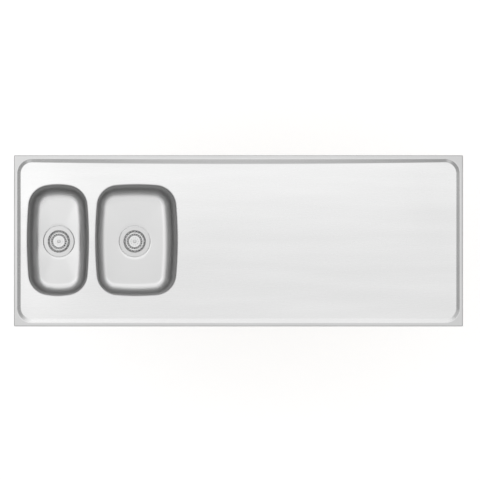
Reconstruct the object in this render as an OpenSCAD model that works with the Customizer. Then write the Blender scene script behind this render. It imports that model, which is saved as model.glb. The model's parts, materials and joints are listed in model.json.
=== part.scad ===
// Stainless steel sink worktop: one and a half pressed bowls at the left, a plain drainer at the right.
// Units are millimetres. X runs along the worktop, Y towards the wall and Z up.
// The origin is the middle of the footprint, on the plane where the worktop rests on its cabinets.

/* [Worktop] */
// Length of the worktop from end to end
top_l = 1600; // [1500:10:1900]
// Depth of the worktop from its front edge to the wall
top_d = 610; // [600:5:640]
// Thickness of the steel sheet of the top and the bowls
sheet_t = 1; // [0.8:0.1:1.2]
// Height that the drainer lies below the rim
deck_drop = 9; // [6:0.5:12]
// Width of the flat rim at the two ends
rim_end_w = 10; // [8:0.5:16]
// Width of the flat rim at the front and the back
rim_side_w = 12; // [10:0.5:18]
// Width in plan of the ramp from rim to drainer at the two ends
ramp_end_w = 15; // [10:0.5:20]
// Width in plan of the ramp at the front
ramp_front_w = 16.5; // [10:0.5:20]
// Width in plan of the ramp at the back corners
ramp_back_w = 14; // [10:0.5:20]
// How much wider the back ramp grows towards its middle
ramp_back_bow = 6.5; // [0:0.5:8]
// Corner radius of the ramp where it leaves the rim
ramp_corner_r = 54; // [45:1:60]
// Outside radius of the folds along the edge
fold_r = 3; // [2:0.5:4]
// Width of the hem that wraps under the board
hem_w = 16; // [12:1:22]

/* [Board] */
// Thickness of the stiffening board
board_t = 19; // [16:1:22]
// Clearance between the board and the folded edge
board_gap = 0.5; // [0.3:0.1:1]
// Clearance between the board and the mouths of the bowls
board_bowl_gap = 12; // [11:1:18]

/* [Bowls] */
// Width of the half bowl's mouth
half_w = 221; // [210:1:230]
// Length of the half bowl's mouth, front to back
half_l = 398; // [380:1:410]
// Radius of the bowed long sides of the half bowl
half_side_bow = 1500; // [1200:50:2000]
// Radius of the bowed ends of the half bowl
half_end_bow = 230; // [200:5:320]
// Width of the main bowl's mouth
main_w = 294; // [280:1:310]
// Length of the main bowl's mouth, front to back
main_l = 398; // [380:1:410]
// Radius of the bowed long sides of the main bowl
main_side_bow = 1420; // [1200:20:2000]
// Radius of the bowed ends of the main bowl
main_end_bow = 850; // [600:10:1200]
// Corner radius of both mouths
mouth_corner_r = 76; // [70:1:80]
// Depth of the bowls below the drainer, at the foot of the walls
bowl_depth = 165; // [140:1:180]
// Draft angle of the bowl walls
wall_draft = 4; // [3:0.5:5]
// Radius between wall and floor
floor_r = 40; // [38:1:44]
// Radius of the rolled lip at the mouth
lip_r = 5; // [4:0.5:6]
// Width of the flat land round each mouth that is welded into the top
land_w = 6; // [4:0.5:7]
// Fall of the floor to the waste
floor_fall = 3; // [2:0.5:5]
// Width of drainer between the left ramp and the half bowl
left_margin = 21; // [16:0.5:40]
// Width of drainer between the two mouths
bowl_gap = 22.5; // [20:0.5:50]
// How far the bowls lie behind the middle of the depth
bowl_back = 2.5; // [-20:0.5:20]
// How far the half bowl's floor and waste lie right of its mouth's middle
half_waste_dx = 3.5; // [-4:0.5:4]
// How far the main bowl's floor and waste lie right of its mouth's middle
main_waste_dx = -6.5; // [-8:0.5:8]
// How far the floors and wastes lie behind the mouths' middle
waste_dy = -4.5; // [-8:0.5:8]

/* [Wastes] */
// Radius of the waste's steel flange
flange_r = 55; // [54:0.5:56]
// Radius of the hole in the bowl's floor
waste_hole_r = 45; // [43:0.5:46]
// Depth of the pressed seat for the flange
recess_d = 2.5; // [2:0.5:4]
// Radius of the strainer cup at its mouth
cup_r = 38.5; // [38:0.5:41]
// Radius of the strainer cup at its bottom
cup_foot_r = 32; // [32:0.5:35]
// Depth of the strainer cup
cup_depth = 24; // [20:1:30]
// Radius of the well in the cup's bottom that the seal closes
well_r = 20; // [18:0.5:21]
// Radius of the basket's rolled rim
basket_r = 31; // [28:0.5:31]
// Height of the basket from trough to rim
basket_h = 13; // [10:1:16]
// Number of holes in the basket's outer ring
basket_holes = 20; // [12:1:24]
// Number of holes in the basket's inner ring
basket_inner_holes = 10; // [6:1:14]
// Number of spokes in the cup's bottom
cup_spokes = 4; // [3:1:6]
// Outside radius of the outlet's thread, for an inch and a half coupling
outlet_r = 23.9; // [20:0.1:26]
// Bore radius of the outlet
outlet_bore_r = 20; // [16:0.5:21]
// Length of the outlet's thread
outlet_l = 24; // [18:1:40]

/* [Fixings] */
// Width of the fixing angles
angle_w = 22; // [18:1:30]
// Length of both legs of the fixing angles
angle_leg = 34; // [28:1:45]
// Thickness of the fixing angles
angle_t = 2; // [1.5:0.5:3]
// Radius of the cabinet screw holes in the fixing angles
angle_hole_r = 2.5; // [2:0.25:3]
// Distance of the fixing angles from the middle of the depth
angle_y = 245; // [235:5:260]
// Shank radius of the board screws
screw_r = 2; // [1.5:0.25:2.5]
// Length of the board screws
screw_l = 15; // [12:1:17]

/* [Hidden] */
// Round stretches: steps for the bowl outlines, their rings, and the ramp's corners
side_steps = 6;
corner_steps = 7;
end_steps = 3;
lip_steps = 4;
fillet_steps = 7;
floor_steps = 2;
ramp_steps = 3;
ramp_corner_steps = 7;
back_steps = 13;
fold_steps = 3;
$fn = 96;

// Small clearances between pieces
weld_gap = 0.1;
glue_gap = 0.1;
seat_gap = 0.3;
board_corner = 2;
thread_gap = 0.05;

// Heights, from the resting plane up
board_z = sheet_t;
deck_z = board_z + board_t + sheet_t;
rim_z = deck_z + deck_drop;

// Bowls as [mouth width, mouth length, side bow, end bow, corner radius, place of the mouth,
// shift of the floor]
half_x = -top_l / 2 + rim_end_w + ramp_end_w + left_margin + half_w / 2;
main_x = half_x + half_w / 2 + bowl_gap + main_w / 2;
HALF = [half_w, half_l, half_side_bow, half_end_bow, mouth_corner_r,
    [half_x, bowl_back], [half_waste_dx, waste_dy]];
MAIN = [main_w, main_l, main_side_bow, main_end_bow, mouth_corner_r,
    [main_x, bowl_back], [main_waste_dx, waste_dy]];
function waste_xy(bowl) = bowl[5] + bowl[6];

// Section of a bowl, as the inset from its mouth and the height
lip_lead = 2;
floor_end_angle = 88;
lip_c = [-lip_lead, deck_z - lip_r];
wall_top = lip_c + lip_r * [cos(wall_draft), sin(wall_draft)];
fillet_z = deck_z - bowl_depth + floor_r * sin(floor_end_angle);
wall_drop = wall_top[1] - (fillet_z - floor_r * sin(wall_draft));
wall_foot_inset = wall_top[0] + wall_drop * tan(wall_draft);
fillet_c = [wall_foot_inset + floor_r * cos(wall_draft), fillet_z];

// Heights and radii round a waste, under the bowl's floor
floor_z = deck_z - bowl_depth;
recess_edge_z = floor_z - floor_fall;
fall_ease = 15;
recess_z = recess_edge_z - recess_d;
recess_clear = 1;
recess_r = flange_r + recess_clear;
recess_slope = 1;
floor_under_z = recess_z - sheet_t;

// Waste pieces
flange_t = 1.2;
cup_t = 1;
flange_gasket_t = 1;
body_gasket_t = 3;
gasket_w = 5;
flange_z = recess_z + flange_gasket_t;
cup_floor_z = flange_z - cup_depth;
well_d = 5;
well_z = cup_floor_z - well_d;
hub_r = 9;
spoke_w = 5;
body_wall = 3;
body_z = floor_under_z - body_gasket_t;
body_r = 53;
body_flange_t = 4;
body_shoulder_z = well_z - cup_t - 5;
body_neck_z = body_shoulder_z - 12;
outlet_z = body_neck_z - outlet_l;
boss_r = 9.5;
boss_z = body_neck_z + 2;
boss_top_z = well_z - cup_t;
bolt_end_z = boss_z + 4;
rib_count = 4;
rib_t = 2.5;
bolt_r = 4;
bolt_head_r = 7;
bolt_head_t = 3.5;
bolt_socket_r = 3.1;
bolt_socket_d = 12;

// Basket pieces
basket_t = 0.8;
trough_z = cup_floor_z + 4;
trough_r = 27.5;
trough_in_r = 22;
crown_r = 20.5;
crown_h = 2.5;
crown_z = trough_z + crown_h;
hole_ring_r = (trough_r + trough_in_r) / 2;
basket_hole_r = 2.1;
inner_ring_r = 13;
inner_hole_r = 1.1;
rim_bead_r = 1.5;
seal_r = well_r + 6;
seal_t = 2.4;
seal_lip = 0.6;
pin_r = 3;
pin_flange_r = 7;
pin_l = 8;
pin_slot_w = 1.4;
knob_r = 6;
knob_neck_r = 3.6;
knob_h = 10;

// Pads on the long sides of the bowls
pad_t = 2.5;
pad_half_l = 95;
pad_top_z = deck_z - 35;
pad_h = 70;
pad_steps = 8;

// Fixing angles: place along X and the side that the hanging leg faces
angle_end_gap = 2;
ANGLES = [[-top_l / 2 + hem_w + angle_end_gap, -1], [main_x + main_w / 2 + 42, 1],
    [0.23 * top_l, 1], [top_l / 2 - hem_w - angle_end_gap, 1]];
screw_inset = 7;
screw_head_r = 4;
screw_head_h = 2.4;

// Points on an arc round c, with both ends
function arc(c, r, from, to, steps) = [for (i = [0:steps]) c + r * [cos(from + (to - from) * i / steps),
    sin(from + (to - from) * i / steps)]];
function without_last(points) = [for (i = [0:len(points) - 2]) points[i]];
function flat_ring(points, z) = [for (p = points) [p[0], p[1], z]];

// Centre of the corner arc that is tangent to the bowed side and the bowed end
function corner_centre(bowl) = let (
    side_c = [bowl[0] / 2 - bowl[2], 0],
    end_c = [0, bowl[1] / 2 - bowl[3]],
    side_d = bowl[2] - bowl[4],
    end_d = bowl[3] - bowl[4],
    along = (end_c - side_c) / norm(end_c - side_c),
    far = norm(end_c - side_c),
    a = (side_d ^ 2 - end_d ^ 2 + far ^ 2) / (2 * far),
    h = sqrt(side_d ^ 2 - a ^ 2)
) side_c + along * a + [-along[1], along[0]] * h;

// One quarter of a bowl's outline, from the middle of its right side to the middle of its back end
function quarter(bowl, inset) = let (
    c = corner_centre(bowl),
    side_c = [bowl[0] / 2 - bowl[2], 0],
    end_c = [0, bowl[1] / 2 - bowl[3]],
    a = atan2(c[1] - side_c[1], c[0] - side_c[0]),
    b = atan2(c[1] - end_c[1], c[0] - end_c[0])
) concat(
    without_last(arc(side_c, bowl[2] - inset, 0, a, side_steps)),
    without_last(arc(c, bowl[4] - inset, a, b, corner_steps)),
    arc(end_c, bowl[3] - inset, b, 90, end_steps)
);

// The whole outline, drawn in by inset, about the middle of the mouth
function outline(bowl, inset) = let (q = quarter(bowl, inset), n = len(q) - 1) concat(
    [for (i = [0:n - 1]) q[i]],
    [for (i = [n:-1:1]) [-q[i][0], q[i][1]]],
    [for (i = [0:n - 1]) -q[i]],
    [for (i = [n:-1:1]) [q[i][0], -q[i][1]]]
);
function moved(points, by) = [for (p = points) p + by];

// Ring of a bowl at a section point [inset, height], moved towards the floor's middle as it goes down
function bowl_ring(bowl, at) = let (
    down = max(0, min(1, (deck_z - at[1]) / bowl_depth))
) flat_ring(moved(outline(bowl, at[0]), bowl[5] + bowl[6] * down), at[1]);

// How far the foot of the wall sinks at p: down to the seat's height where the floor beside the waste
// is narrow, and hardly at all where it is wide
function foot_sink(bowl, p) = let (
    room = max(0, norm(p - waste_xy(bowl)) - recess_r - recess_slope)
) floor_fall * fall_ease ^ 2 / (room ^ 2 + fall_ease ^ 2);

// Ring of the floor radius, at angle a from the upright wall at 0 to the floor at 90
function foot_ring(bowl, at, last, a) = let (
    ring = bowl_ring(bowl, at),
    edge = moved(outline(bowl, last[0]), waste_xy(bowl))
) [for (j = [0:len(ring) - 1]) ring[j] - [0, 0, foot_sink(bowl, edge[j]) * sin(a) ^ 2]];

// Ring on the floor, from the foot of the wall at 0 to the circle of the flange seat at 1
function floor_ring(bowl, start, r, z_end, share) = let (
    middle = waste_xy(bowl),
    edge = moved(outline(bowl, start[0]), middle)
) [for (p = edge) let (
    q = middle + r * (p - middle) / norm(p - middle),
    m = p + (q - p) * share,
    z = start[1] - foot_sink(bowl, p)
) [m[0], m[1], z + (z_end - z) * share]];

// Circle round the waste with one point on the way to each point of the outline
function waste_ring(bowl, start, r, z) = floor_ring(bowl, start, r, z, 1);

// Rings of a bowl's inside (grow = 0) or of its outside (grow = sheet_t), from the land to the waste
function bowl_rings(bowl, grow) = let (
    lip = arc(lip_c, lip_r - grow, 90, wall_draft, lip_steps),
    fillet = arc(fillet_c, floor_r + grow, 180 + wall_draft, 180 + floor_end_angle, fillet_steps),
    last = fillet[fillet_steps]
) concat(
    [bowl_ring(bowl, [-lip_lead - land_w, deck_z - grow])],
    [for (p = lip) bowl_ring(bowl, p)],
    [for (i = [0:fillet_steps]) foot_ring(bowl, fillet[i], last, 90 * i / fillet_steps)],
    [for (i = [1:floor_steps])
        floor_ring(bowl, last, recess_r + recess_slope, recess_edge_z - grow, i / floor_steps)],
    [waste_ring(bowl, last, recess_r, recess_z - grow)],
    [waste_ring(bowl, last, waste_hole_r - 4, recess_z - grow)]
);

// Closed skin through rings of equal length, with a flat cap at each end
module skin(rings) {
    n = len(rings[0]);
    m = len(rings);
    points = [for (r = rings) for (p = r) p];
    sides = [for (i = [0:m - 2]) for (j = [0:n - 1]) each [
        [i * n + j, i * n + (j + 1) % n, (i + 1) * n + (j + 1) % n],
        [i * n + j, (i + 1) * n + (j + 1) % n, (i + 1) * n + j]
    ]];
    caps = [[for (j = [n - 1:-1:0]) j], [for (j = [0:n - 1]) (m - 1) * n + j]];
    polyhedron(points, concat(sides, caps), convexity = 6);
}

function turned(list) = [for (i = [len(list) - 1:-1:0]) list[i]];

// Pressed bowl with its welded land, drafted wall, falling floor and flange seat
module bowl(bowl) {
    color([0.78, 0.79, 0.80])
    difference() {
        skin(concat(turned(bowl_rings(bowl, 0)), bowl_rings(bowl, sheet_t)));
        translate(concat(waste_xy(bowl), floor_under_z - 5)) cylinder(r = waste_hole_r, h = 20);
    }
}

// Ring of the worktop: insets at the ends, front and back, corner radius, bow of the back line, height
function top_ring(end_in, front_in, back_in, r, bow, z) = let (
    x = top_l / 2 - end_in,
    front = -top_d / 2 + front_in,
    back = top_d / 2 - back_in,
    reach = x - r
) flat_ring(concat(
    arc([reach, front + r], r, -90, 0, ramp_corner_steps),
    arc([reach, back - r], r, 0, 90, ramp_corner_steps),
    [for (i = [1:back_steps]) let (u = 1 - 2 * i / (back_steps + 1)) [reach * u, back - bow * (1 - u ^ 2)]],
    arc([-reach, back - r], r, 90, 180, ramp_corner_steps),
    arc([-reach, front + r], r, 180, 270, ramp_corner_steps)
), z);

// The same inset on all four sides, with a small corner radius
sharp_r = 1.2;
function edge_ring(inset, z) = top_ring(inset, inset, inset, max(sharp_r, fold_r - inset), 0, z);

// Share of the ramp's width that each of its two bends takes, and the places of its rings
ramp_ease = 0.14;
RAMP_AT = concat([for (i = [0:ramp_steps]) ramp_ease * i / ramp_steps],
    [for (i = [ramp_steps:-1:0]) 1 - ramp_ease * i / ramp_steps]);

// Ramp ring: 0 at the rim and 1 at the drainer, a straight slope between two bends.
// The sheet's thickness, grow, is measured square to the slope
function ramp_ring(u, grow) = let (
    near = min(u, 1 - u),
    steep = min(1, near / ramp_ease) / (1 - ramp_ease),
    bend = (near < ramp_ease ? near ^ 2 / (2 * ramp_ease) : near - ramp_ease / 2) / (1 - ramp_ease),
    slope = atan(deck_drop * steep / ramp_end_w),
    out = grow * sin(slope)
) top_ring(
    rim_end_w + ramp_end_w * u - out, rim_side_w + ramp_front_w * u - out, rim_side_w + ramp_back_w * u - out,
    ramp_corner_r - ramp_end_w * u + out, ramp_back_bow * u,
    deck_z - grow * cos(slope) + deck_drop * (u < 0.5 ? 1 - bend : bend));

// Rings of the top's outer face (grow = 0) or inner face (grow = sheet_t), from the hem to the drainer
function top_rings(grow) = concat(
    [edge_ring(hem_w, grow)],
    [for (p = arc([fold_r, fold_r], fold_r - grow, 270, 180, fold_steps)) edge_ring(p[0], p[1])],
    [for (p = arc([fold_r, rim_z - fold_r], fold_r - grow, 180, 90, fold_steps)) edge_ring(p[0], p[1])],
    [for (u = RAMP_AT) ramp_ring(u, grow)]
);

// Opening in the drainer that a bowl's land is welded into
module mouth_hole(bowl) {
    translate([0, 0, deck_z - 5])
    linear_extrude(10) polygon(moved(outline(bowl, -lip_lead - land_w - weld_gap), bowl[5]));
}

// Drainer, ramps, rim, folded edge and hem, pressed from one sheet
module steel_top() {
    color([0.82, 0.83, 0.84])
    difference() {
        skin(concat(turned(top_rings(0)), top_rings(sheet_t)));
        mouth_hole(HALF);
        mouth_hole(MAIN);
    }
}

// Clearance hole in the board round one mouth
module board_cut(bowl) {
    translate([0, 0, -1]) linear_extrude(deck_z) polygon(moved(outline(bowl, -board_bowl_gap), bowl[5]));
}

// Places of the two screws in each fixing angle
function screw_xy(angle, side) = [for (s = [-1, 1])
    [angle[0] - angle[1] * (angle_leg / 2 + 4), side * angle_y + s * (angle_w / 2 - screw_inset)]];

module at_screws() {
    for (angle = ANGLES) for (side = [-1, 1]) for (p = screw_xy(angle, side))
        translate([p[0], p[1], board_z]) children();
}

// Layer of the board, drawn in by inset, with its upright corners cut off to clear the folded edge
module board_layer(inset, z_from, z_to) {
    x = top_l / 2 - inset;
    y = top_d / 2 - inset;
    c = board_corner;
    translate([0, 0, z_from]) linear_extrude(z_to - z_from) polygon([
        [-x + c, -y], [x - c, -y], [x, -y + c], [x, y - c], [x - c, y], [-x + c, y], [-x, y - c], [-x, -y + c]
    ]);
}

// Moisture-proof board glued under the drainer: rebated over the fold, with one cut-out for both bowls
// and pilot holes for the screws
module core_board() {
    bridge_l = main_x - half_x;
    bridge_d = min(half_l, main_l) - 2 * mouth_corner_r;
    color([0.66, 0.56, 0.38])
    difference() {
        union() {
            board_layer(fold_r, board_z, fold_r);
            board_layer(sheet_t + board_gap, fold_r, board_z + board_t);
        }
        board_cut(HALF);
        board_cut(MAIN);
        translate([half_x, bowl_back - bridge_d / 2, -1]) cube([bridge_l, bridge_d, deck_z]);
        at_screws() translate([0, 0, -1]) cylinder(r = screw_r + thread_gap, h = screw_l, $fn = 24);
    }
}

// One sound-deadening pad on a long side wall, which follows the wall's bow and draft
module pad(bowl, side) {
    r = bowl[2];
    span = asin(pad_half_l / r);
    function wall_inset(z) = wall_top[0] + (wall_top[1] - z) * tan(wall_draft);
    function shift(z) = bowl[5] + bowl[6] * (deck_z - z) / bowl_depth;
    function corner(a, z, out) = let (
        q = shift(z) + side * ([bowl[0] / 2 - r, 0] + (r - wall_inset(z) + out) * [cos(a), sin(a)])
    ) [q[0], q[1], z];
    inner = sheet_t / cos(wall_draft) + glue_gap;
    outer = inner + pad_t;
    low = pad_top_z - pad_h;
    skin([for (i = [0:pad_steps]) let (a = span * (2 * i / pad_steps - 1)) [
        corner(a, low, inner), corner(a, low, outer), corner(a, pad_top_z, outer), corner(a, pad_top_z, inner)
    ]]);
}

module bowl_pads(bowl) {
    color([0.16, 0.16, 0.17]) {
        pad(bowl, 1);
        pad(bowl, -1);
    }
}

// Fixing angle: one leg screwed up into the board, the other hanging down against the cabinet's side
module fixing_angle(face) {
    mirror([face > 0 ? 0 : 1, 0, 0])
    difference() {
        union() {
            translate([-angle_leg, -angle_w / 2, -angle_t]) cube([angle_leg, angle_w, angle_t]);
            translate([-angle_t, -angle_w / 2, -angle_leg]) cube([angle_t, angle_w, angle_leg]);
        }
        translate([-angle_t - 1, 0, -angle_leg * 0.62]) rotate([0, 90, 0])
            cylinder(r = angle_hole_r, h = angle_t + 2);
        for (s = [-1, 1]) translate([-angle_leg / 2 - 4, s * (angle_w / 2 - screw_inset), -angle_t - 1])
            cylinder(r = screw_r + 0.3, h = angle_t + 2, $fn = 24);
    }
}

module fixing_angles() {
    color([0.70, 0.71, 0.72])
    for (angle = ANGLES) for (side = [-1, 1])
        translate([angle[0], side * angle_y, board_z]) fixing_angle(angle[1]);
}

// Pan-head screws through the angles into the board
module fixing_screws() {
    color([0.74, 0.72, 0.62])
    at_screws() {
        translate([0, 0, -angle_t]) cylinder(r = screw_r, h = screw_l - 1 + angle_t - 1.2, $fn = 24);
        translate([0, 0, -angle_t - screw_head_h])
            cylinder(r1 = screw_head_r * 0.7, r2 = screw_head_r, h = screw_head_h);
    }
}

// Revolved section, placed at a bowl's waste
module turn_at(bowl) {
    translate(concat(waste_xy(bowl), 0)) rotate_extrude() children();
}

module at_waste(bowl) {
    translate(concat(waste_xy(bowl), 0)) children();
}

// Steel strainer cup: flange in the bowl's seat, conical wall, and a spoked well that takes the clamp bolt
module strainer_cup(bowl) {
    color([0.84, 0.85, 0.86])
    difference() {
        turn_at(bowl) difference() {
            polygon([
                [0, well_z - cup_t], [well_r + cup_t, well_z - cup_t], [well_r + cup_t, cup_floor_z - cup_t],
                [cup_foot_r + cup_t, cup_floor_z - cup_t], [cup_r + cup_t, flange_z],
                [flange_r, flange_z], [flange_r, flange_z + flange_t * 0.6],
                [flange_r - 2, flange_z + flange_t],
                [cup_r + 1.5, flange_z + flange_t], [0, flange_z + flange_t]
            ]);
            polygon([
                [0, well_z], [well_r, well_z], [well_r, cup_floor_z], [cup_foot_r, cup_floor_z],
                [cup_r, flange_z], [cup_r + 1.5, flange_z + flange_t],
                [cup_r + 1.5, flange_z + 10], [0, flange_z + 10]
            ]);
        }
        at_waste(bowl) translate([0, 0, well_z - cup_t - 1]) {
            linear_extrude(cup_t + 2) difference() {
                circle(r = well_r - 1.5);
                circle(r = hub_r);
                for (i = [0:cup_spokes - 1]) rotate(360 / cup_spokes * i) translate([0, -spoke_w / 2])
                    square([well_r, spoke_w]);
            }
            cylinder(r = bolt_r + 0.2, h = cup_t + 2);
        }
    }
}

module ring(bowl, r, w, z, t, shade) {
    color(shade) turn_at(bowl) translate([r - w, z]) square([w, t]);
}

// Rubber ring between the flange and its seat
module flange_gasket(bowl) {
    ring(bowl, flange_r - 3, gasket_w, recess_z, flange_gasket_t, [0.2, 0.2, 0.2]);
}

// Rubber ring between the bowl's underside and the waste body
module body_gasket(bowl) {
    ring(bowl, body_r - 1, gasket_w, body_z, body_gasket_t, [0.12, 0.12, 0.12]);
}

// Plastic waste body: funnel, threaded outlet, and a boss on ribs that the clamp bolt pulls up
module waste_body(bowl) {
    color([0.90, 0.90, 0.88])
    difference() {
        union() {
            turn_at(bowl) difference() {
                polygon([
                    [0, outlet_z], [outlet_r, outlet_z], [outlet_r, body_neck_z],
                    [outlet_r + 3, body_neck_z + 2], [cup_r + 1.5 + body_wall, body_shoulder_z],
                    [cup_r + 2 + body_wall, body_z - body_flange_t],
                    [body_r, body_z - body_flange_t], [body_r, body_z], [0, body_z]
                ]);
                polygon([
                    [0, outlet_z - 1], [outlet_bore_r, outlet_z - 1], [outlet_bore_r, body_neck_z + 2],
                    [cup_r + 1.5, body_shoulder_z + 1], [cup_r + 2, body_z + 1], [0, body_z + 1]
                ]);
            }
            at_waste(bowl) {
                translate([0, 0, boss_z]) cylinder(r = boss_r, h = boss_top_z - boss_z);
                for (i = [0:rib_count - 1]) rotate(360 / rib_count * i + 45)
                    translate([0, -rib_t / 2, body_neck_z - 4]) cube([outlet_bore_r + 1, rib_t, 13]);
            }
        }
        at_waste(bowl) translate([0, 0, bolt_end_z - 1]) cylinder(r = bolt_r + thread_gap, h = 30);
    }
}

// Hollow-headed clamp bolt: the basket's pin drops into its socket
module clamp_bolt(bowl) {
    color([0.80, 0.72, 0.48])
    turn_at(bowl) difference() {
        polygon([
            [0, bolt_end_z], [bolt_r - 0.6, bolt_end_z], [bolt_r, bolt_end_z + 0.6], [bolt_r, well_z],
            [bolt_head_r, well_z], [bolt_head_r, well_z + bolt_head_t - 1],
            [bolt_head_r - 1, well_z + bolt_head_t], [0, well_z + bolt_head_t]
        ]);
        translate([0, well_z + bolt_head_t - bolt_socket_d]) square([bolt_socket_r, bolt_socket_d + 1]);
    }
}

// Ring of round holes through the basket
module hole_ring(count, ring_r, r) {
    for (i = [0:count - 1]) rotate(360 / count * i) translate([ring_r, 0, trough_z - 5])
        cylinder(r = r, h = crown_h + 15, $fn = 24);
}

// Steel basket: rolled rim, drafted wall, perforated trough and a raised, perforated crown
module basket(bowl) {
    color([0.86, 0.87, 0.88])
    difference() {
        turn_at(bowl) {
            polygon([
                [pin_r + thread_gap, crown_z], [crown_r, crown_z],
                [trough_in_r, trough_z], [trough_r, trough_z],
                [basket_r - rim_bead_r, trough_z + basket_h],
                [basket_r - rim_bead_r - basket_t, trough_z + basket_h],
                [trough_r - basket_t, trough_z + basket_t], [trough_in_r, trough_z + basket_t],
                [crown_r, crown_z + basket_t], [pin_r + thread_gap, crown_z + basket_t]
            ]);
            translate([basket_r - rim_bead_r - basket_t / 2, trough_z + basket_h])
                circle(r = rim_bead_r, $fn = 32);
        }
        at_waste(bowl) {
            hole_ring(basket_holes, hole_ring_r, basket_hole_r);
            hole_ring(basket_inner_holes, inner_ring_r, inner_hole_r);
        }
    }
}

// Rubber seal under the basket, with a lip that closes the well
module basket_seal(bowl) {
    low = cup_floor_z + seat_gap;
    color([0.10, 0.10, 0.10])
    turn_at(bowl) polygon([
        [pin_r + thread_gap, low + seal_lip], [seal_r - 2, low + seal_lip], [seal_r - 1, low], [seal_r, low],
        [seal_r, low + 1.2], [seal_r - 2, low + seal_t], [pin_r + thread_gap, low + seal_t]
    ]);
}

// Split nylon pin: carries the seal and the basket and snaps into the clamp bolt
module basket_pin(bowl) {
    seal_top = cup_floor_z + seat_gap + seal_t;
    foot = well_z + bolt_head_t - pin_l;
    color([0.92, 0.92, 0.90])
    difference() {
        turn_at(bowl) polygon([
            [0, foot], [pin_r - 0.8, foot], [pin_r, foot + 1.2], [pin_r, seal_top], [pin_flange_r, seal_top],
            [pin_flange_r, crown_z], [pin_r, crown_z],
            [pin_r, crown_z + basket_t + 3], [0, crown_z + basket_t + 3]
        ]);
        at_waste(bowl) translate([-pin_slot_w / 2, -10, foot - 1]) cube([pin_slot_w, 20, pin_l - 2]);
    }
}

// Waisted knob to lift the basket by
module basket_knob(bowl) {
    low = crown_z + basket_t;
    color([0.86, 0.87, 0.88])
    turn_at(bowl) difference() {
        polygon(concat(
            [[0, low], [knob_r - 0.8, low], [knob_neck_r, low + 2.5], [knob_neck_r, low + knob_h - 4.5]],
            arc([knob_r - 2, low + knob_h - 2], 2, -60, 90, 6),
            [[0, low + knob_h + 0.6]]
        ));
        translate([0, low - 1]) square([pin_r + thread_gap, 4.1]);
    }
}

steel_top();
core_board();
bowl(HALF);  // half_bowl
bowl(MAIN);  // main_bowl
bowl_pads(HALF);  // half_bowl_pads
bowl_pads(MAIN);  // main_bowl_pads
fixing_angles();
fixing_screws();
strainer_cup(HALF);  // half_strainer_cup
flange_gasket(HALF);  // half_flange_gasket
body_gasket(HALF);  // half_body_gasket
waste_body(HALF);  // half_waste_body
clamp_bolt(HALF);  // half_clamp_bolt
basket(HALF);  // half_basket
basket_seal(HALF);  // half_basket_seal
basket_pin(HALF);  // half_basket_pin
basket_knob(HALF);  // half_basket_knob
strainer_cup(MAIN);  // main_strainer_cup
flange_gasket(MAIN);  // main_flange_gasket
body_gasket(MAIN);  // main_body_gasket
waste_body(MAIN);  // main_waste_body
clamp_bolt(MAIN);  // main_clamp_bolt
basket(MAIN);  // main_basket
basket_seal(MAIN);  // main_basket_seal
basket_pin(MAIN);  // main_basket_pin
basket_knob(MAIN);  // main_basket_knob
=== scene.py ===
"""Looks of the stainless steel sink worktop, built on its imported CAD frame.

Lengths are in millimetres, but for the floor, the lights and the camera, which are placed in metres.
"""

import json
import math

import bmesh
import bpy
import numpy as np
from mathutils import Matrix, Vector
from mathutils.geometry import delaunay_2d_cdt


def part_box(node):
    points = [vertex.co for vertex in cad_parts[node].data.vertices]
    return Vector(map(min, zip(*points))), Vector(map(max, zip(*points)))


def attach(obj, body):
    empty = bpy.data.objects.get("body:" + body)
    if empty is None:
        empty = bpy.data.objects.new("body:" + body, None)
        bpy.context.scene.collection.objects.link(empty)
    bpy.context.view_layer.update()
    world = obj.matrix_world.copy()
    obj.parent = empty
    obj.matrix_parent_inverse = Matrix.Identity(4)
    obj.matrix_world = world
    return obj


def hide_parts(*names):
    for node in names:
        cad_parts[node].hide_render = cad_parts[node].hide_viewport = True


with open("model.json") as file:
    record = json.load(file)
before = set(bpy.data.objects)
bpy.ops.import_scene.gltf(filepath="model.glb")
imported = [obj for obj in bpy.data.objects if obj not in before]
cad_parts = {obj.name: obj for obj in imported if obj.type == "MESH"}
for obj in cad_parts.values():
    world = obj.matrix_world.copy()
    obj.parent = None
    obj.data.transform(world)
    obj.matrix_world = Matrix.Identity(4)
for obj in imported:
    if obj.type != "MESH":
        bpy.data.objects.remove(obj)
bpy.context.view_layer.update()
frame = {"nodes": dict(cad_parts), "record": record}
MM = 0.001

# Sizes of the sink, as in the CAD source
TOP_L, TOP_D, SHEET = 1600.0, 610.0, 1.0
DECK_Z, RIM_Z = 21.0, 30.0
RIM_END, RIM_SIDE = 10.0, 12.0
RAMP_END, RAMP_FRONT, RAMP_BACK, RAMP_BOW = 15.0, 16.5, 14.0, 6.5
RAMP_CORNER, FOLD, HEM = 54.0, 3.0, 16.0
BOWL_DEPTH, DRAFT, FLOOR_R, LIP_R = 165.0, 4.0, 40.0, 5.0
LAND, LEAD, FALL, FALL_EASE = 6.0, 2.0, 3.0, 15.0
FLOOR_END = 88.0
FLANGE_R, RECESS_CLEAR, RECESS_SLOPE, RECESS_D, HOLE_R = 55.0, 1.0, 1.0, 2.5, 45.0
OUTLET_R = 23.9

# Bowls: mouth width and length, radii of sides, ends and corners, middle of the mouth, shift of the floor
HALF = dict(w=221.0, l=398.0, side=1500.0, end=230.0, corner=76.0, at=(-643.5, 2.5), shift=(3.5, -4.5))
MAIN = dict(w=294.0, l=398.0, side=1420.0, end=850.0, corner=76.0, at=(-363.5, 2.5), shift=(-6.5, -4.5))

# Steps of the rounds: half of a bowl's side, its corner and half of its end, then those of its section
OUTLINE_STEPS = (10, 26, 12)
LIP_STEPS, FOOT_STEPS, FLOOR_RINGS = 8, 20, 10
# Rings along the straight wall, as shares of its height, keep its shading even
WALL_RINGS = (0.05, 0.5, 0.95)
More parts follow.
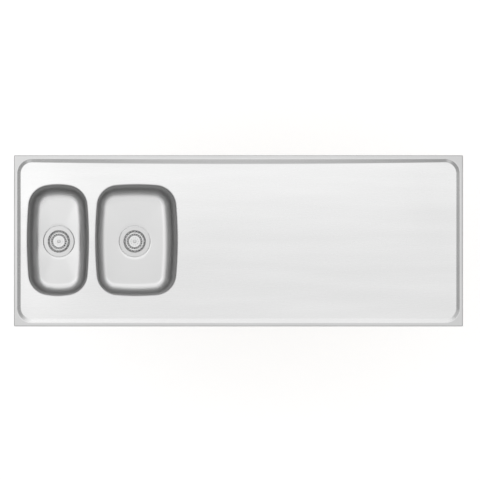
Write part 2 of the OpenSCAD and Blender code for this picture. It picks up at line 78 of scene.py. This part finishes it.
# Ring of the section where the wall turns into the floor, after the land, the lip and the wall
FOOT_START = LIP_STEPS + 2 + len(WALL_RINGS)
# Rounding of the edges of the waste's seat
SEAT_LEAD, SEAT_EDGE = 0.5, 0.3

# Steps of the top's corners, of its back and of its fold, and the least radius of its edge's corners
CORNER_STEPS, BACK_STEPS, FOLD_STEPS = 24, 72, 6
EDGE_CORNER_R = 1.2
# The ramp bends over this share of its width at both ends, in so many steps each
RAMP_EASE, RAMP_BEND = 0.14, 5
RAMP_START = [RAMP_EASE * k / RAMP_BEND for k in range(RAMP_BEND + 1)]
RAMP_AT = RAMP_START + [0.5] + [1 - u for u in RAMP_START[::-1]]
RAMP_RINGS = len(RAMP_AT)

# Threads of the outlets: pitch, turns, steps in a turn and steps over which both ends fade
THREAD_PITCH, THREAD_TURNS, THREAD_STEPS, THREAD_FADE = 2.31, 9, 48, 12
# The ridge stands proud of the outlet by the first, and its foot lies inside by the second
THREAD_PROUD, THREAD_ROOT = 0.5, 0.4
# Its start above the outlet's end and half its width, as shares of the pitch
THREAD_START, THREAD_HALF = 0.75, 0.45

SHARP_ANGLE = math.radians(35)


# Outlines and sections

def arc(c, r, start, end, steps):
    """Points on an arc, both ends included; angles in degrees."""
    a = np.radians(np.linspace(start, end, steps + 1))
    return np.column_stack([c[0] + r * np.cos(a), c[1] + r * np.sin(a)])


def outline(bowl, inset):
    """A bowl's outline of eight tangent arcs, drawn in by inset, about the middle of its mouth."""
    side_c = np.array([bowl["w"] / 2 - bowl["side"], 0.0])
    end_c = np.array([0.0, bowl["l"] / 2 - bowl["end"]])
    side_d, end_d = bowl["side"] - bowl["corner"], bowl["end"] - bowl["corner"]
    far = np.linalg.norm(end_c - side_c)
    along = (end_c - side_c) / far
    a = (side_d**2 - end_d**2 + far**2) / (2 * far)
    h = math.sqrt(side_d**2 - a**2)
    c = side_c + along * a + np.array([-along[1], along[0]]) * h
    u = math.degrees(math.atan2(c[1] - side_c[1], c[0] - side_c[0]))
    v = math.degrees(math.atan2(c[1] - end_c[1], c[0] - end_c[0]))
    side_steps, corner_steps, end_steps = OUTLINE_STEPS
    q = np.vstack([
        arc(side_c, bowl["side"] - inset, 0, u, side_steps)[:-1],
        arc(c, bowl["corner"] - inset, u, v, corner_steps)[:-1],
        arc(end_c, bowl["end"] - inset, v, 90, end_steps),
    ])
    return np.vstack([q[:-1], (q * (-1, 1))[:0:-1], -q[:-1], (q * (1, -1))[:0:-1]])


def flat(points, z):
    return np.column_stack([points, np.full(len(points), z)])


def bowl_section(grow):
    """Section of a bowl as points of inset and height, from the land at the mouth to the end of the foot."""
    draft = math.radians(DRAFT)
    lip_c = np.array([-LEAD, DECK_Z - LIP_R])
    top = lip_c + LIP_R * np.array([math.cos(draft), math.sin(draft)])
    turn_z = DECK_Z - BOWL_DEPTH + FLOOR_R * math.sin(math.radians(FLOOR_END))
    drop = top[1] - (turn_z - FLOOR_R * math.sin(draft))
    foot_c = (top[0] + drop * math.tan(draft) + FLOOR_R * math.cos(draft), turn_z)
    land = [(-LEAD - LAND, DECK_Z - grow)]
    lip = arc(lip_c, LIP_R - grow, 90, DRAFT, LIP_STEPS)
    foot = arc(foot_c, FLOOR_R + grow, 180 + DRAFT, 180 + FLOOR_END, FOOT_STEPS)
    wall = [lip[-1] + (foot[0] - lip[-1]) * share for share in WALL_RINGS]
    return np.vstack([land, lip, wall, foot])


def bowl_rings(bowl, grow):
    """Rings of a bowl's inside (grow 0) or outside (grow SHEET), from its land to the waste hole."""
    mouth, shift = np.array(bowl["at"]), np.array(bowl["shift"])
    section = bowl_section(grow)
    middle = mouth + shift
    edge = outline(bowl, section[-1][0]) + middle
    out = edge - middle
    reach = np.linalg.norm(out, axis=1)
    unit = out / reach[:, None]
    seat_r = RECESS_CLEAR + RECESS_SLOPE + FLANGE_R
    seat_z = DECK_Z - BOWL_DEPTH - FALL - grow
    # The foot of the wall sinks to the seat's height where the floor beside the waste is narrow
    room = np.maximum(0, reach - seat_r)
    sink = FALL * FALL_EASE**2 / (room**2 + FALL_EASE**2)
    rings = []
    for k, (inset, z) in enumerate(section):
        down = min(1.0, max(0.0, (DECK_Z - z) / BOWL_DEPTH))
        angle = math.radians(90) * max(0, k - FOOT_START) / (len(section) - 1 - FOOT_START)
        ring = outline(bowl, inset) + mouth + shift * down
        rings.append(np.column_stack([ring, z - sink * math.sin(angle) ** 2]))
    foot_z = rings[-1][:, 2]
    for share in np.linspace(0, 1, FLOOR_RINGS + 1)[1:]:
        ring = edge + (middle + unit * seat_r - edge) * share
        rings.append(np.column_stack([ring, foot_z + (seat_z - foot_z) * share]))
    seat = (
        (seat_r - SEAT_LEAD, seat_z - SEAT_EDGE),
        (seat_r - RECESS_SLOPE + SEAT_EDGE, seat_z - RECESS_D + SEAT_EDGE),
        (seat_r - RECESS_SLOPE - SEAT_EDGE, seat_z - RECESS_D),
        (HOLE_R, seat_z - RECESS_D),
    )
    for r, z in seat:
        rings.append(flat(middle + unit * r, z))
    return rings


def top_ring(end_in, front_in, back_in, r, bow, z):
    """Ring of the top, drawn in from its ends, front and back, and by bow more in the middle of the back."""
    x, front, top = TOP_L / 2 - end_in, -TOP_D / 2 + front_in, TOP_D / 2 - back_in
    reach = x - r
    u = 1 - 2 * np.arange(1, BACK_STEPS + 1) / (BACK_STEPS + 1)
    return flat(np.vstack([
        arc((reach, front + r), r, -90, 0, CORNER_STEPS),
        arc((reach, top - r), r, 0, 90, CORNER_STEPS),
        np.column_stack([reach * u, top - bow * (1 - u**2)]),
        arc((-reach, top - r), r, 90, 180, CORNER_STEPS),
        arc((-reach, front + r), r, 180, 270, CORNER_STEPS),
    ]), z)


def edge_ring(inset, z):
    return top_ring(inset, inset, inset, max(EDGE_CORNER_R, FOLD - inset), 0, z)


def ramp_ring(u, grow):
    """Ramp ring, u 0 at the rim and 1 at the drainer: a straight slope that bends at both ends."""
    rise = RIM_Z - DECK_Z
    steep = min(1, u / RAMP_EASE, (1 - u) / RAMP_EASE) / (1 - RAMP_EASE)
    near = min(u, 1 - u)
    bent = near * near / (2 * RAMP_EASE) if near < RAMP_EASE else near - RAMP_EASE / 2
    fall = bent / (1 - RAMP_EASE)
    slope = math.atan(rise * steep / RAMP_END)
    out = grow * math.sin(slope)
    z = DECK_Z - grow * math.cos(slope) + rise * (1 - fall if u < 0.5 else fall)
    end_in = RIM_END + RAMP_END * u - out
    front_in = RIM_SIDE + RAMP_FRONT * u - out
    back_in = RIM_SIDE + RAMP_BACK * u - out
    return top_ring(end_in, front_in, back_in, RAMP_CORNER - RAMP_END * u + out, RAMP_BOW * u, z)


def top_rings(grow):
    """Rings of the top's outside (grow 0) or inside (grow SHEET), from the end of the hem to the drainer."""
    low = arc((FOLD, FOLD), FOLD - grow, 270, 180, FOLD_STEPS)
    high = arc((FOLD, RIM_Z - FOLD), FOLD - grow, 180, 90, FOLD_STEPS)
    edge = [edge_ring(inset, z) for inset, z in ((HEM, grow), *low, *high)]
    return edge + [ramp_ring(u, grow) for u in RAMP_AT]


# Meshes

def mesh_object(name, verts, faces):
    """Smooth object with sharp creases and outward normals, from points in millimetres."""
    mesh = bpy.data.meshes.new(name)
    mesh.from_pydata([Vector(v) * MM for v in verts], [], faces)
    mesh.validate()
    b = bmesh.new()
    b.from_mesh(mesh)
    bmesh.ops.recalc_face_normals(b, faces=b.faces)
    b.to_mesh(mesh)
    b.free()
    mesh.polygons.foreach_set("use_smooth", [True] * len(mesh.polygons))
    mesh.set_sharp_from_angle(angle=SHARP_ANGLE)
    obj = bpy.data.objects.new(name, mesh)
    bpy.context.scene.collection.objects.link(obj)
    return obj


def ring_faces(count, n, loop=False):
    """Faces between count rings of n points each, with loop also from the last ring to the first."""
    faces = []
    for i in range(count if loop else count - 1):
        k = (i + 1) % count
        for j in range(n):
            m = (j + 1) % n
            faces.append((i * n + j, i * n + m, k * n + m, k * n + j))
    return faces


def bowl_object(name, bowl):
    """A bowl's shell, with its material slots for the inside, the land and the underside."""
    inner, outer = bowl_rings(bowl, 0), bowl_rings(bowl, SHEET)
    rings = inner + outer[::-1]
    n = len(rings[0])
    obj = mesh_object(name, np.vstack(rings), ring_faces(len(rings), n, loop=True))
    # The welded land is ground and brushed with the drainer, and the underside keeps the mill's finish
    for k, face in enumerate(obj.data.polygons):
        if k < n:
            face.material_index = 1
        elif k >= len(inner) * n:
            face.material_index = 2
    return obj


def inside(p, poly):
    """Whether a point lies inside a closed outline."""
    x, y = poly[:, 0], poly[:, 1]
    x2, y2 = np.roll(x, -1), np.roll(y, -1)
    cross = (y > p[1]) != (y2 > p[1])
    with np.errstate(divide="ignore", invalid="ignore"):
        hit = p[0] < (x2 - x) * (p[1] - y) / (y2 - y) + x
    return np.count_nonzero(cross & hit) % 2 == 1


def plate(verts, faces, outer, holes, flip):
    """Fills the flat drainer between its outer ring and the mouths, on points that verts already holds."""
    loops = [outer] + holes
    index = [i for loop in loops for i in loop]
    edges, at = [], 0
    for loop in loops:
        n = len(loop)
        edges += [(at + j, at + (j + 1) % n) for j in range(n)]
        at += n
    given = [Vector(verts[i][:2]) for i in index]
    points, _, tris, sources = delaunay_2d_cdt(given, edges, [], 0, 1e-6)[:4]
    back = {i: source[0] for i, source in enumerate(sources) if source}
    polys = [np.array([verts[i][:2] for i in loop]) for loop in loops]
    for tri in tris:
        c = np.mean([points[i] for i in tri], axis=0)
        if inside(c, polys[0]) and not any(inside(c, p) for p in polys[1:]):
            f = tuple(index[back[i]] for i in tri)
            faces.append(f[::-1] if flip else f)


def top_object():
    """The top's sheet, with its material slots for the brushed steel, the flat rim and the edge."""
    outer, inner = top_rings(0), top_rings(SHEET)
    rings = outer[::-1] + inner
    n = len(rings[0])
    verts = list(np.vstack(rings))
    faces = ring_faces(len(rings), n)
    mouths = [outline(b, -LEAD - LAND) + np.array(b["at"]) for b in (HALF, MAIN)]
    upper, lower = [], []
    for z, loops in ((DECK_Z, upper), (DECK_Z - SHEET, lower)):
        for mouth in mouths:
            loops.append(list(range(len(verts), len(verts) + len(mouth))))
            verts += list(flat(mouth, z))
    for a, b in zip(upper, lower):
        faces += list(zip(a, a[1:] + a[:1], b[1:] + b[:1], b))
    plate(verts, faces, list(range(n)), upper, False)
    plate(verts, faces, list(range((len(rings) - 1) * n, len(rings) * n)), lower, True)
    obj = mesh_object("top_sheet", verts, faces)
    # The flat rim keeps the sheet's dull finish, and the fold, the edge and the hem are darker
    for k in range(RAMP_RINGS - 1, len(rings) - RAMP_RINGS):
        for face in obj.data.polygons[k * n:(k + 1) * n]:
            face.material_index = 1 if k == RAMP_RINGS - 1 else 2
    return obj


def thread_object(name, solid):
    """Helical ridge on a waste body's outlet, faded out at both ends."""
    low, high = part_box(solid)
    x, y, bottom = (low[0] + high[0]) / 2 / MM, (low[1] + high[1]) / 2 / MM, low[2] / MM
    steps = THREAD_TURNS * THREAD_STEPS
    rings = []
    for k in range(steps + 1):
        a = 2 * math.pi * k / THREAD_STEPS
        z = bottom + THREAD_PITCH * (THREAD_START + k / THREAD_STEPS)
        proud = THREAD_PROUD * min(1, k / THREAD_FADE, (steps - k) / THREAD_FADE)
        foot, crest = OUTLET_R - THREAD_ROOT, OUTLET_R + proud
        for r, rise in ((foot, -THREAD_HALF), (crest, 0), (foot, THREAD_HALF)):
            rings.append((x + r * math.cos(a), y + r * math.sin(a), z + THREAD_PITCH * rise))
    ends = [(0, 1, 2), (3 * steps, 3 * steps + 1, 3 * steps + 2)]
    return mesh_object(name, rings, ring_faces(steps + 1, 3) + ends)


# Materials

def material(name):
    """A new material, its node tree and its shader."""
    m = bpy.data.materials.new(name)
    m.use_nodes = True
    nt = m.node_tree
    nt.nodes.clear()
    out = nt.nodes.new("ShaderNodeOutputMaterial")
    shader = nt.nodes.new("ShaderNodeBsdfPrincipled")
    nt.links.new(shader.outputs[0], out.inputs[0])
    return m, nt, shader


def metal(name):
    m, nt, shader = material(name)
    shader.distribution = "GGX"
    shader.inputs["Metallic"].default_value = 1.0
    return m, nt, shader


def node(nt, kind, **values):
    """A new node, with values for its properties or inputs."""
    n = nt.nodes.new(kind)
    for k, v in values.items():
        if hasattr(n, k):
            setattr(n, k, v)
        else:
            n.inputs[k.replace("_", " ")].default_value = v
    return n


def noise(nt, scale, stretch=(1, 1, 1), detail=4.0, rough=0.6):
    """Noise in the object's own coordinates; stretch multiplies each axis."""
    at = nt.nodes.new("ShaderNodeTexCoord")
    m = nt.nodes.new("ShaderNodeMapping")
    m.inputs["Scale"].default_value = stretch
    nt.links.new(at.outputs["Object"], m.inputs["Vector"])
    n = node(nt, "ShaderNodeTexNoise", Scale=scale, Detail=detail, Roughness=rough)
    nt.links.new(m.outputs[0], n.inputs["Vector"])
    return n.outputs["Fac"]


def spread(nt, value, low, high, start=0.3, end=0.7, shape="LINEAR"):
    """Maps a value from start..end, by default the usual range of noise, to low..high."""
    r = node(nt, "ShaderNodeMapRange", interpolation_type=shape)
    for k, v in (("From Min", start), ("From Max", end), ("To Min", low), ("To Max", high)):
        r.inputs[k].default_value = v
    nt.links.new(value, r.inputs["Value"])
    return r.outputs[0]


def join(nt, operation, a, b):
    """Calculates with an output and a second output or number."""
    n = node(nt, "ShaderNodeMath", operation=operation)
    nt.links.new(a, n.inputs[0])
    if isinstance(b, float):
        n.inputs[1].default_value = b
    else:
        nt.links.new(b, n.inputs[1])
    return n.outputs[0]


def mix(nt, fac, a, b):
    m = nt.nodes.new("ShaderNodeMix")
    m.data_type = "RGBA"
    nt.links.new(fac, m.inputs["Factor"])
    m.inputs["A"].default_value = (*a, 1)
    m.inputs["B"].default_value = (*b, 1)
    return m.outputs["Result"]


def bump(nt, shader, height, strength, distance):
    b = nt.nodes.new("ShaderNodeBump")
    b.inputs["Strength"].default_value = strength
    b.inputs["Distance"].default_value = distance
    nt.links.new(height, b.inputs["Height"])
    nt.links.new(b.outputs[0], shader.inputs["Normal"])


def steel(name, tone, rough, stretch=(60, 60, 60), scale=6.0, bump_mm=0.001, drift=(1, 1, 1)):
    """Stainless steel with a fine grain: stretch sets its direction, and drift that of wide tone changes."""
    m, nt, s = metal(name)
    grain = noise(nt, scale, stretch)
    cloud = noise(nt, scale=3.2, stretch=drift, detail=2.0, rough=0.5)
    low, high = [(t, t, t) for t in tone]
    nt.links.new(mix(nt, spread(nt, cloud, 0, 1), low, high), s.inputs["Base Color"])
    nt.links.new(spread(nt, grain, *rough), s.inputs["Roughness"])
    bump(nt, s, grain, strength=0.25, distance=bump_mm * MM)
    return m


def banded(name, base, tones, rough, rough_at=None):
    """Steel whose tone and roughness go by height, with light and shade painted into its tone.

    Tones are pairs of height over base and tone, low to high. The roughness goes over all their heights, or
    over those in rough_at.
    """
    m, nt, s = metal(name)
    at = nt.nodes.new("ShaderNodeTexCoord")
    axes = nt.nodes.new("ShaderNodeSeparateXYZ")
    nt.links.new(at.outputs["Object"], axes.inputs[0])
    heights = [base + z for z, _ in tones]
    low, high = heights[0], heights[-1]
    ramp = nt.nodes.new("ShaderNodeValToRGB")
    nt.links.new(spread(nt, axes.outputs["Z"], 0.0, 1.0, low * MM, high * MM), ramp.inputs["Fac"])
    stops = ramp.color_ramp.elements
    stops[1].position = 1.0
    for z in heights[1:-1]:
        stops.new((z - low) / (high - low))
    for stop, (_, tone) in zip(stops, tones):
        stop.color = (tone, tone, tone, 1)
    nt.links.new(ramp.outputs["Color"], s.inputs["Base Color"])
    start, end = [base + z for z in rough_at] if rough_at else (low, high)
    nt.links.new(spread(nt, axes.outputs["Z"], *rough, start * MM, end * MM), s.inputs["Roughness"])
    grain = noise(nt, scale=9.0, stretch=(60, 60, 30))
    bump(nt, s, grain, strength=0.2, distance=0.003 * MM)
    return m


def turned(m, amount):
    """Gives a round piece the drawn-out highlights of metal finished on a lathe."""
    nt = m.node_tree
    shader = next(n for n in nt.nodes if n.type == "BSDF_PRINCIPLED")
    tangent = node(nt, "ShaderNodeTangent", direction_type="RADIAL", axis="Z")
    nt.links.new(tangent.outputs[0], shader.inputs["Tangent"])
    shader.inputs["Anisotropic"].default_value = amount
    shader.inputs["Anisotropic Rotation"].default_value = 0.25


def plain(name, low, high, rough, scale, bump_mm, metallic=0.0, detail=4.0):
    """A material whose tone drifts between two colours, with a slight relief."""
    m, nt, s = material(name)
    s.inputs["Metallic"].default_value = metallic
    s.inputs["Roughness"].default_value = rough
    n = noise(nt, scale, detail=detail)
    nt.links.new(mix(nt, spread(nt, n, 0, 1), low, high), s.inputs["Base Color"])
    bump(nt, s, n, strength=0.3, distance=bump_mm * MM)
    return m


top_steel = steel("top_steel", tone=(0.74, 0.775), rough=(0.27, 0.276), stretch=(1.2, 260, 260),
                  bump_mm=0.0005, drift=(0.5, 5, 1))
rim_steel = steel("rim_steel", tone=(0.63, 0.66), rough=(0.40, 0.44))
edge_steel = steel("edge_steel", tone=(0.46, 0.50), rough=(0.34, 0.38))
mill_steel = steel("mill_steel", tone=(0.46, 0.54), rough=(0.38, 0.48), bump_mm=0.004)
knob_steel = steel("knob_steel", tone=(0.60, 0.64), rough=(0.26, 0.32), stretch=(40, 40, 40), scale=12.0,
                   bump_mm=0.003)

# Heights over the bowl's floor: step of the seat brightened by a painted highlight, satin floor, foot
# brightened by a painted highlight, walls darkened by painted shade, lip brighter where that shade eases
BOWL_PAINTED_LIGHT_TONES = (
    (-5.5, 0.95), (-3.5, 0.95), (-3.1, 0.675), (0.0, 0.675), (4.0, 0.80),
    (12.0, 0.72), (26.0, 0.50), (60.0, 0.35), (162.0, 0.31), (165.0, 0.62),
)
bowl_painted_light_steel = banded("bowl_painted_light_steel", DECK_Z - BOWL_DEPTH, BOWL_PAINTED_LIGHT_TONES, (0.24, 0.46), rough_at=(0.5, 6))

# Heights over the strainer cup's flange: floor under the basket and wall brightened by painted light, duller
# flange
CUP_PAINTED_LIGHT_TONES = ((-25.0, 0.90), (-22.0, 0.99), (-1.2, 0.99), (-0.2, 0.63))
flange_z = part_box("half_strainer_cup")[1][2] / MM
cup_painted_light_steel = banded("cup_painted_light_steel", flange_z, CUP_PAINTED_LIGHT_TONES, (0.30, 0.24))

# Heights over the foot of the basket's trough: trough darkened by painted shade, polished crown lightened by
# painted light, wall and rim brightened by a painted highlight
BASKET_PAINTED_LIGHT_TONES = ((1.0, 0.48), (2.3, 0.75), (3.4, 0.75), (5.0, 0.97), (14.0, 0.97))
trough_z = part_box("half_basket")[0][2] / MM
basket_painted_light_steel = banded("basket_painted_light_steel", trough_z, BASKET_PAINTED_LIGHT_TONES, (0.20, 0.14))
turned(basket_painted_light_steel, 0.7)

# The others: two colours, roughness, and the scale and depth of the relief
zinc = plain("zinc_plate", (0.42, 0.43, 0.45), (0.58, 0.59, 0.60), 0.42, 45.0, 0.02, metallic=1.0)
board = plain("chipboard", (0.36, 0.25, 0.13), (0.62, 0.48, 0.30), 0.85, 240.0, 0.3, detail=5.0)
pad = plain("damping_pad", (0.020, 0.020, 0.022), (0.040, 0.040, 0.042), 0.80, 160.0, 0.3)
rubber = plain("rubber", (0.018, 0.018, 0.018), (0.032, 0.032, 0.032), 0.62, 200.0, 0.05)
plastic = plain("waste_plastic", (0.78, 0.78, 0.76), (0.84, 0.84, 0.82), 0.40, 90.0, 0.03)
nylon = plain("nylon", (0.80, 0.80, 0.77), (0.85, 0.85, 0.82), 0.32, 90.0, 0.02)
brass = plain("brass", (0.72, 0.55, 0.28), (0.80, 0.63, 0.34), 0.25, 80.0, 0.02, metallic=1.0)


# Pieces

def piece(obj, body, nodes, slot, *mats):
    """Gives a piece its materials, its body and the CAD nodes that it replaces; its slot is not used."""
    for mat in mats:
        obj.data.materials.append(mat)
    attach(obj, body)
    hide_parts(*nodes)


piece(top_object(), "sink_top", ["steel_top"], "steel", top_steel, rim_steel, edge_steel)
# The bowls' insides take the steel with painted highlights and painted shade by height
for name, bowl in (("half_bowl", HALF), ("main_bowl", MAIN)):
    shell = bowl_object(name + "_shell", bowl)
    piece(shell, "sink_top", [name], "steel", bowl_painted_light_steel, top_steel, mill_steel)

for bowl in ("half", "main"):
    thread = thread_object(bowl + "_outlet_thread", bowl + "_waste_body")
    thread.data.materials.append(plastic)
    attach(thread, "sink_top")

# The CAD nodes that show as they are have a finish of their own, with painted light and shade on the cup and
# the basket, or that of their slot
own_finish_and_painted_light = {"strainer_cup": cup_painted_light_steel, "basket": basket_painted_light_steel, "basket_knob": knob_steel}
slot_finish = {"board": board, "damping_pad": pad, "rubber": rubber, "waste_plastic": plastic,
               "nylon": nylon, "brass": brass, "zinc": zinc, "steel": top_steel}
slots = {s["node"]: s["material_slot"] for s in frame["record"]["subparts"]}
for name, obj in frame["nodes"].items():
    look = own_finish_and_painted_light.get(name.split("_", 1)[1]) or slot_finish[slots[name]]
    if not obj.material_slots:
        obj.data.materials.append(look)
    for slot in obj.material_slots:
        slot.material = look


# Floor, light and camera

FLOOR_Z, FLOOR_SIZE = -0.90, 200
# Light of its own that the floor shows to the camera and to reflections, but doesn't cast on the sink
FLOOR_LIFT = 0.42
# Strength of the world at the horizon and overhead, and the heights between which it grows
SKY_SIDE, SKY_TOP, SKY_Z = 0.46, 1.28, (0.3, 0.95)
# What the back adds, where it starts and is full towards +Y, and where it comes in and goes out by height
BACK, BACK_Y, BACK_IN, BACK_OUT = 0.92, (0.6, 0.92), (0.05, 0.28), (0.45, 0.75)
# Sides of the photo and length of the top in it, in pixels, and the place of the camera
PHOTO_PX, TOP_PX = 480, 449
CAMERA_AT = (0.0054, 0.0030, 4.0)


def floor_material():
    """Pale floor that reads as white, and still takes the object's shadow."""
    m, nt, s = material("floor")
    s.inputs["Base Color"].default_value = (0.80, 0.80, 0.80, 1)
    s.inputs["Roughness"].default_value = 0.9
    path = nt.nodes.new("ShaderNodeLightPath").outputs
    seen = join(nt, "MAXIMUM", path["Is Camera Ray"], path["Is Glossy Ray"])
    seen = join(nt, "MAXIMUM", seen, path["Is Transmission Ray"])
    s.inputs["Emission Color"].default_value = (1, 1, 1, 1)
    nt.links.new(join(nt, "MULTIPLY", seen, FLOOR_LIFT), s.inputs["Emission Strength"])
    return m


def studio():
    """World brightest overhead, bright low down at the back (+Y), and dimmer in front and at both ends."""
    world = bpy.data.worlds.new("studio")
    bpy.context.scene.world = world
    world.use_nodes = True
    nt = world.node_tree
    nt.nodes.clear()
    out = nt.nodes.new("ShaderNodeOutputWorld")
    sky = nt.nodes.new("ShaderNodeBackground")
    nt.links.new(sky.outputs[0], out.inputs[0])
    coord = nt.nodes.new("ShaderNodeTexCoord")
    axes = nt.nodes.new("ShaderNodeSeparateXYZ")
    nt.links.new(coord.outputs["Generated"], axes.inputs[0])
    y, z = axes.outputs["Y"], axes.outputs["Z"]
    back = spread(nt, y, 0.0, BACK, *BACK_Y, "SMOOTHSTEP")
    comes = spread(nt, z, 0.0, 1.0, *BACK_IN, "SMOOTHSTEP")
    goes = spread(nt, z, 1.0, 0.0, *BACK_OUT, "SMOOTHSTEP")
    up = spread(nt, z, SKY_SIDE, SKY_TOP, *SKY_Z, "SMOOTHSTEP")
    band = join(nt, "MULTIPLY", back, join(nt, "MULTIPLY", comes, goes))
    nt.links.new(join(nt, "ADD", band, up), sky.inputs["Strength"])


def softbox(name, at, size, aim, power, spread_deg=180):
    data = bpy.data.lights.new(name, "AREA")
    data.spread = math.radians(spread_deg)
    data.shape = "RECTANGLE"
    data.size, data.size_y = size
    data.energy = power
    obj = bpy.data.objects.new(name, data)
    bpy.context.scene.collection.objects.link(obj)
    obj.location = at
    obj.rotation_euler = (Vector(aim) - Vector(at)).to_track_quat("-Z", "Y").to_euler()


bpy.ops.mesh.primitive_plane_add(size=FLOOR_SIZE, location=(0, 0, FLOOR_Z))
floor = bpy.context.object
floor.name = "floor"
floor.data.materials.append(floor_material())

studio()
# Each light's place, its size, the point that it is aimed at, and its power
softbox("top_softbox", (-0.8, 0.75, 1.1), (3.0, 1.3), (-0.8, 0.74, 0), 2.7)
softbox("window", (-1.15, 2.2, 0.7), (1.3, 0.7), (-0.8, 0, 0), 2.0)
softbox("front_softbox", (-0.15, -2.2, 0.5), (1.1, 0.9), (-0.15, 0.3, 0), 1.6)
# A grid keeps this one off the far end
softbox("left_softbox", (-1.35, 0.0, 1.1), (0.7, 1.4), (-1.1, 0, 0), 0.14, spread_deg=80)

camera = bpy.data.cameras.new("camera")
camera.type = "ORTHO"
camera.ortho_scale = PHOTO_PX * TOP_L / TOP_PX * MM
camera.clip_end = FLOOR_SIZE
view = bpy.data.objects.new("camera", camera)
bpy.context.scene.collection.objects.link(view)
view.location = CAMERA_AT
bpy.context.scene.camera = view

bpy.context.scene.view_settings.view_transform = "Standard"
